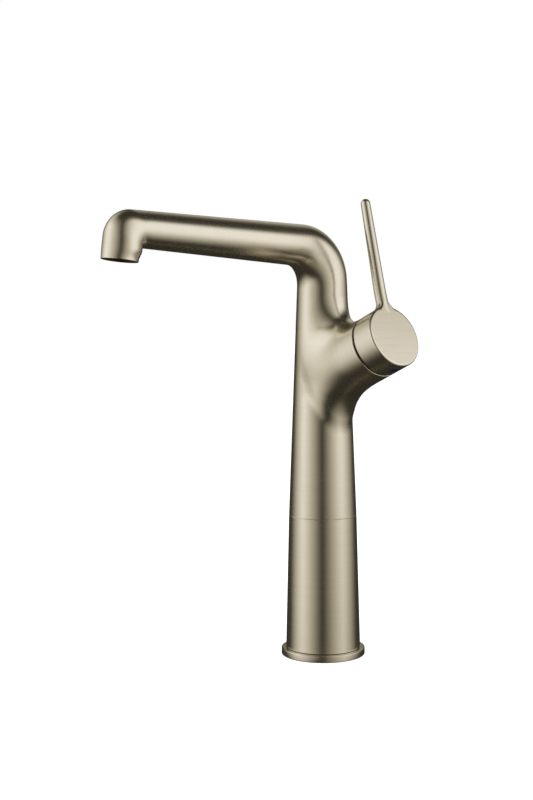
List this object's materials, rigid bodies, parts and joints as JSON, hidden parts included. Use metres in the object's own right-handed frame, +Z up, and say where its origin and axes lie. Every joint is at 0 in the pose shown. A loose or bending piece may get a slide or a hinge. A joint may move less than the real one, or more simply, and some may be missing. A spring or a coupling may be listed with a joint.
{
  "type": "bathroom mixer faucet",
  "caption": "Tall single-lever basin mixer tap: tapered column on a round flange, long slightly rising spout with a turned-down nozzle, valve in a side branch with a pin lever",
  "frame": {"origin": "centre of the round base, on the plane of the gasket's underside where the mixer sits on the deck", "axes": "+Z up along the column, the spout reaches out along -Y, the valve branch and its lever point to +X and upwards"},
  "size_m": [0.1023, 0.2038, 0.3031],
  "materials": {
    "brushed_nickel": "warm brushed nickel, satin, grain running round each round part",
    "raw_brass": "machined",
    "stainless_steel": "machined",
    "black_rubber": "matt",
    "pale_plastic": "moulded",
    "grey_plastic": "moulded",
    "ceramic": "lapped ceramic",
    "index_blue": "gloss, dark blue"
  },
  "bodies": {
    "mixer_body": {"base_gasket": "black_rubber", "base_flange": "brushed_nickel", "riser_sleeve": "brushed_nickel", "sleeve_o_ring": "black_rubber", "body_casting": "brushed_nickel", "cold_supply_tube": "raw_brass", "hot_supply_tube": "raw_brass", "cartridge_seals": "black_rubber", "cartridge_base": "grey_plastic", "fixed_disc": "ceramic", "cartridge_housing": "grey_plastic", "retaining_nut": "raw_brass", "aerator_seal": "black_rubber", "flow_regulator": "grey_plastic", "outlet_grid": "pale_plastic", "aerator_housing": "stainless_steel"},
    "turret": {"cartridge_turret": "pale_plastic", "stem_pin": "stainless_steel"},
    "lever": {"lever_stem": "stainless_steel", "lever_handle": "brushed_nickel", "grub_screw": "stainless_steel", "index_plug": "index_blue"},
    "disc_set": {"disc_carrier": "pale_plastic", "moving_disc": "ceramic"}
  },
  "joints": [
    {"name": "temperature_turn", "type": "hinge", "parent": "mixer_body", "child": "turret", "pos_m": [0.03758, 0, 0.20293], "axis": [0.91, 0, 0.4147], "range_deg": [-40, 50]},
    {"name": "flow_tilt", "type": "hinge", "parent": "turret", "child": "lever", "pos_m": [0.03758, 0, 0.20293], "axis": [0.0361, 0.9962, -0.0793], "range_deg": [0, 20]},
    {"name": "disc_slide", "type": "slide", "parent": "turret", "child": "disc_set", "axis": [-0.4131, 0.0872, 0.9065], "range_m": [0, 0.00274]}
  ],
  "couplings": [
    {"joint": "disc_slide", "follows": "flow_tilt", "m_per_rad": 0.0078385}
  ]
}
